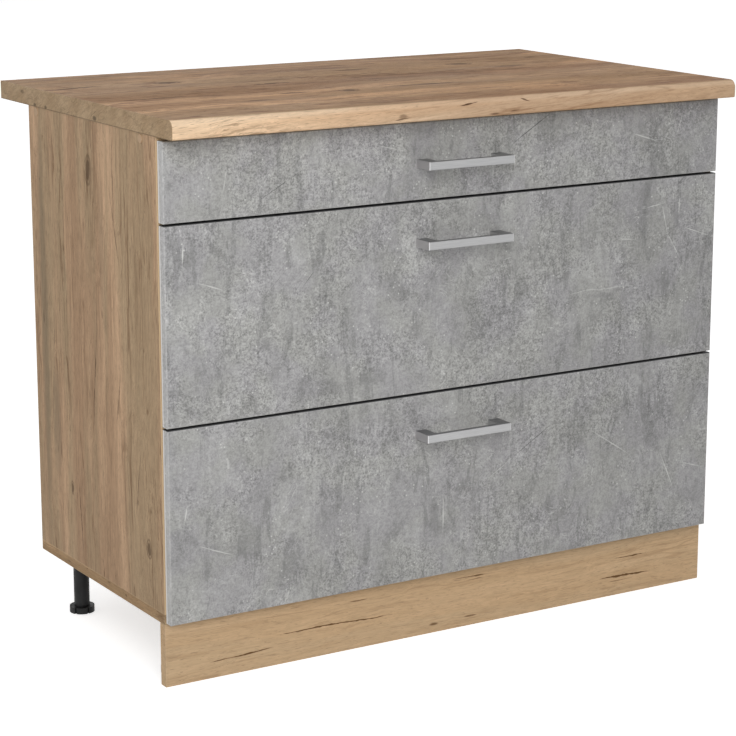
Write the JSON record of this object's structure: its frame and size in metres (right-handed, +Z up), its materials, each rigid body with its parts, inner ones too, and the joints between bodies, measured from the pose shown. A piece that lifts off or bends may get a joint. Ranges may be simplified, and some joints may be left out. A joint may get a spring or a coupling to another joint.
{
  "type": "base cabinet with drawers",
  "caption": "Kitchen base cabinet: drawers on full-extension ball-bearing runners, bar handles, rounded-front worktop, plinth and adjustable legs.",
  "frame": {"origin": "on the floor, under the middle of the worktop", "axes": "+X to the right of someone facing the drawers, +Y to the back, +Z up"},
  "size_m": [1.002, 0.6, 0.845],
  "materials": {
    "oak_board": "satin",
    "oak_plinth": "satin",
    "drawer_board": "satin",
    "worktop_laminate": "satin",
    "worktop_end_band": "matte",
    "white_sheet": "satin",
    "concrete_front": "matte",
    "handle_metal": "satin",
    "cap_plastic": "matte",
    "black_plastic": "matte",
    "runner_steel": "satin",
    "cage_steel": "satin"
  },
  "bodies": {
    "carcass": {"side_panel_left": "oak_board", "side_panel_right": "oak_board", "bottom_panel": "oak_board", "top_rail_front": "oak_board", "top_rail_rear": "oak_board", "back_panel": "white_sheet", "screw_caps": "cap_plastic", "worktop": "worktop_laminate", "worktop_end_bands": "worktop_end_band", "leg_socket_plates": "black_plastic", "leg_tubes": "black_plastic", "plinth": "oak_plinth", "plinth_clips": "black_plastic", "top_drawer_runner_cabinet_members": "runner_steel", "middle_drawer_runner_cabinet_members": "runner_steel", "bottom_drawer_runner_cabinet_members": "runner_steel"},
    "top_drawer": {"top_drawer_front": "concrete_front", "top_drawer_handle": "handle_metal", "top_drawer_bottom": "white_sheet", "top_drawer_inner_front": "drawer_board", "top_drawer_back": "drawer_board", "top_drawer_side_left": "drawer_board", "top_drawer_side_right": "drawer_board", "top_drawer_runner_drawer_members": "runner_steel"},
    "top_drawer_middle_members": {"top_drawer_runner_middle_members": "runner_steel"},
    "top_drawer_outer_cages": {"top_drawer_runner_outer_cages": "cage_steel"},
    "top_drawer_inner_cages": {"top_drawer_runner_inner_cages": "cage_steel"},
    "middle_drawer": {"middle_drawer_front": "concrete_front", "middle_drawer_handle": "handle_metal", "middle_drawer_bottom": "white_sheet", "middle_drawer_inner_front": "drawer_board", "middle_drawer_back": "drawer_board", "middle_drawer_side_left": "drawer_board", "middle_drawer_side_right": "drawer_board", "middle_drawer_runner_drawer_members": "runner_steel"},
    "middle_drawer_middle_members": {"middle_drawer_runner_middle_members": "runner_steel"},
    "middle_drawer_outer_cages": {"middle_drawer_runner_outer_cages": "cage_steel"},
    "middle_drawer_inner_cages": {"middle_drawer_runner_inner_cages": "cage_steel"},
    "bottom_drawer": {"bottom_drawer_front": "concrete_front", "bottom_drawer_handle": "handle_metal", "bottom_drawer_bottom": "white_sheet", "bottom_drawer_inner_front": "drawer_board", "bottom_drawer_back": "drawer_board", "bottom_drawer_side_left": "drawer_board", "bottom_drawer_side_right": "drawer_board", "bottom_drawer_runner_drawer_members": "runner_steel"},
    "bottom_drawer_middle_members": {"bottom_drawer_runner_middle_members": "runner_steel"},
    "bottom_drawer_outer_cages": {"bottom_drawer_runner_outer_cages": "cage_steel"},
    "bottom_drawer_inner_cages": {"bottom_drawer_runner_inner_cages": "cage_steel"},
    "foot_front_left": {"foot_front_left": "black_plastic"},
    "foot_front_right": {"foot_front_right": "black_plastic"},
    "foot_rear_left": {"foot_rear_left": "black_plastic"},
    "foot_rear_right": {"foot_rear_right": "black_plastic"}
  },
  "joints": [
    {"name": "top_drawer_slide", "type": "slide", "parent": "carcass", "child": "top_drawer", "axis": [0, -1, 0], "range_m": [0, 0.4]},
    {"name": "top_drawer_middle_members_slide", "type": "slide", "parent": "carcass", "child": "top_drawer_middle_members", "axis": [0, -1, 0], "range_m": [0, 0.2]},
    {"name": "top_drawer_outer_cages_slide", "type": "slide", "parent": "carcass", "child": "top_drawer_outer_cages", "axis": [0, -1, 0], "range_m": [0, 0.1]},
    {"name": "top_drawer_inner_cages_slide", "type": "slide", "parent": "carcass", "child": "top_drawer_inner_cages", "axis": [0, -1, 0], "range_m": [0, 0.3]},
    {"name": "middle_drawer_slide", "type": "slide", "parent": "carcass", "child": "middle_drawer", "axis": [0, -1, 0], "range_m": [0, 0.4]},
    {"name": "middle_drawer_middle_members_slide", "type": "slide", "parent": "carcass", "child": "middle_drawer_middle_members", "axis": [0, -1, 0], "range_m": [0, 0.2]},
    {"name": "middle_drawer_outer_cages_slide", "type": "slide", "parent": "carcass", "child": "middle_drawer_outer_cages", "axis": [0, -1, 0], "range_m": [0, 0.1]},
    {"name": "middle_drawer_inner_cages_slide", "type": "slide", "parent": "carcass", "child": "middle_drawer_inner_cages", "axis": [0, -1, 0], "range_m": [0, 0.3]},
    {"name": "bottom_drawer_slide", "type": "slide", "parent": "carcass", "child": "bottom_drawer", "axis": [0, -1, 0], "range_m": [0, 0.4]},
    {"name": "bottom_drawer_middle_members_slide", "type": "slide", "parent": "carcass", "child": "bottom_drawer_middle_members", "axis": [0, -1, 0], "range_m": [0, 0.2]},
    {"name": "bottom_drawer_outer_cages_slide", "type": "slide", "parent": "carcass", "child": "bottom_drawer_outer_cages", "axis": [0, -1, 0], "range_m": [0, 0.1]},
    {"name": "bottom_drawer_inner_cages_slide", "type": "slide", "parent": "carcass", "child": "bottom_drawer_inner_cages", "axis": [0, -1, 0], "range_m": [0, 0.3]},
    {"name": "foot_front_left_turn", "type": "hinge", "parent": "carcass", "child": "foot_front_left", "pos_m": [-0.4585, -0.1905, 0.02], "axis": [0, 0, 1], "continuous": true},
    {"name": "foot_front_right_turn", "type": "hinge", "parent": "carcass", "child": "foot_front_right", "pos_m": [0.4585, -0.1905, 0.02], "axis": [0, 0, 1], "continuous": true},
    {"name": "foot_rear_left_turn", "type": "hinge", "parent": "carcass", "child": "foot_rear_left", "pos_m": [-0.4585, 0.1385, 0.02], "axis": [0, 0, 1], "continuous": true},
    {"name": "foot_rear_right_turn", "type": "hinge", "parent": "carcass", "child": "foot_rear_right", "pos_m": [0.4585, 0.1385, 0.02], "axis": [0, 0, 1], "continuous": true}
  ],
  "couplings": [
    {"joint": "top_drawer_middle_members_slide", "follows": "top_drawer_slide", "ratio": 0.5},
    {"joint": "top_drawer_outer_cages_slide", "follows": "top_drawer_slide", "ratio": 0.25},
    {"joint": "top_drawer_inner_cages_slide", "follows": "top_drawer_slide", "ratio": 0.75},
    {"joint": "middle_drawer_middle_members_slide", "follows": "middle_drawer_slide", "ratio": 0.5},
    {"joint": "middle_drawer_outer_cages_slide", "follows": "middle_drawer_slide", "ratio": 0.25},
    {"joint": "middle_drawer_inner_cages_slide", "follows": "middle_drawer_slide", "ratio": 0.75},
    {"joint": "bottom_drawer_middle_members_slide", "follows": "bottom_drawer_slide", "ratio": 0.5},
    {"joint": "bottom_drawer_outer_cages_slide", "follows": "bottom_drawer_slide", "ratio": 0.25},
    {"joint": "bottom_drawer_inner_cages_slide", "follows": "bottom_drawer_slide", "ratio": 0.75}
  ]
}
